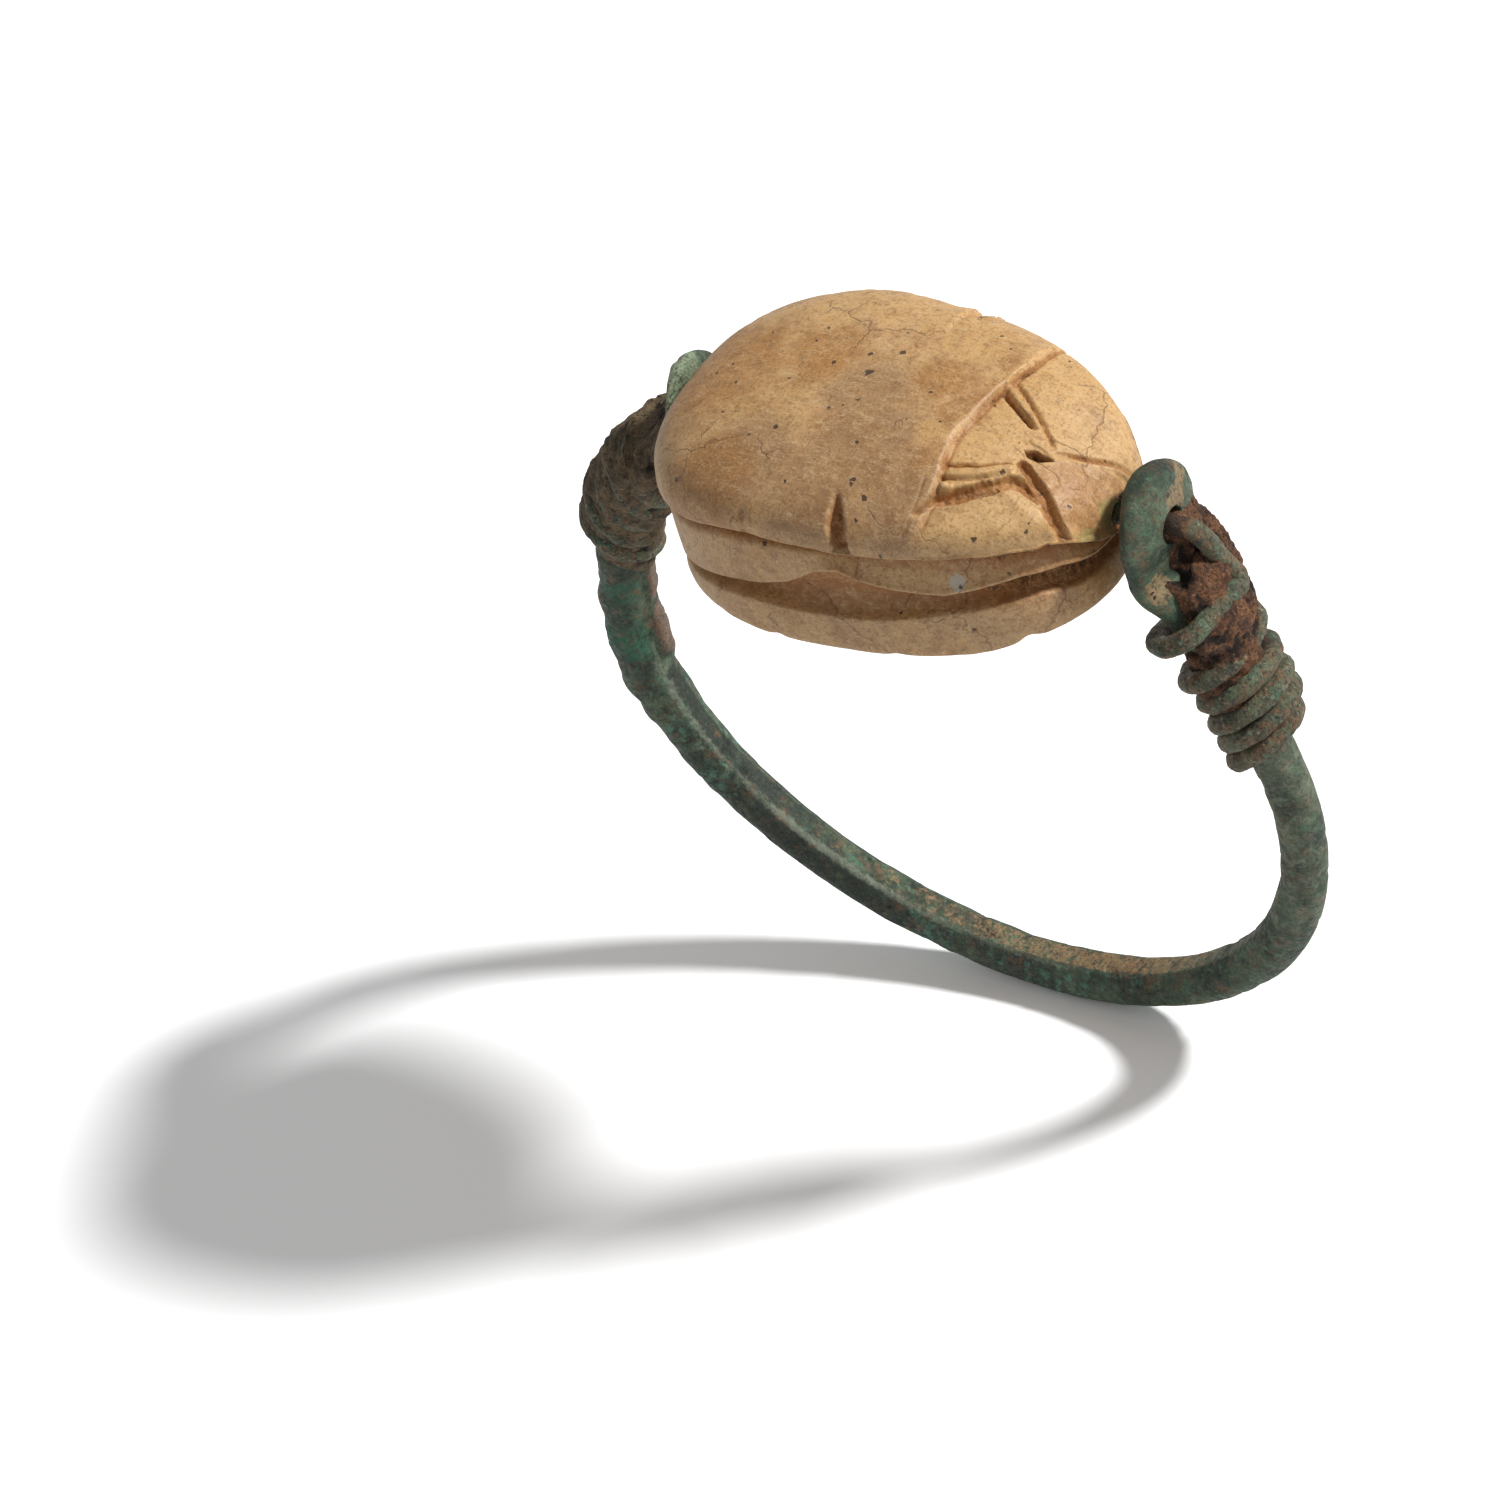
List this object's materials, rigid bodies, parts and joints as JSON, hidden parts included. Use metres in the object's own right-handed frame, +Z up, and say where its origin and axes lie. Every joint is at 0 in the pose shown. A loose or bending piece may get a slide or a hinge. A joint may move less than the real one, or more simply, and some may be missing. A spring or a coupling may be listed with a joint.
{
  "type": "scarab swivel ring",
  "caption": "Finger ring of a bent metal rod whose flattened pierced ends hold a carved stone scarab bead, which turns on a wire wound round the shanks.",
  "frame": {"origin": "under the middle of the ring's box, at the lowest point of the hoop", "axes": "+Z up from the hoop's foot to the scarab, +X along the swivel axis towards the scarab's head, +Y across the hoop's plane"},
  "size_m": [0.027, 0.011, 0.0282],
  "materials": {
    "hoop_metal": "corroded copper alloy with green and brown patina",
    "wire_metal": "corroded copper alloy wire with earth in its turns",
    "stone": "carved and polished soft stone, worn"
  },
  "bodies": {
    "root": {"hoop": "hoop_metal", "wire_axle": "wire_metal", "right_winding": "wire_metal", "left_winding": "wire_metal"},
    "bead": {"scarab": "stone"}
  },
  "joints": [
    {"name": "scarab_swivel", "type": "hinge", "parent": "root", "child": "bead", "pos_m": [0.0017, 0.00025, 0.02468], "axis": [1, 0, 0], "continuous": true}
  ]
}
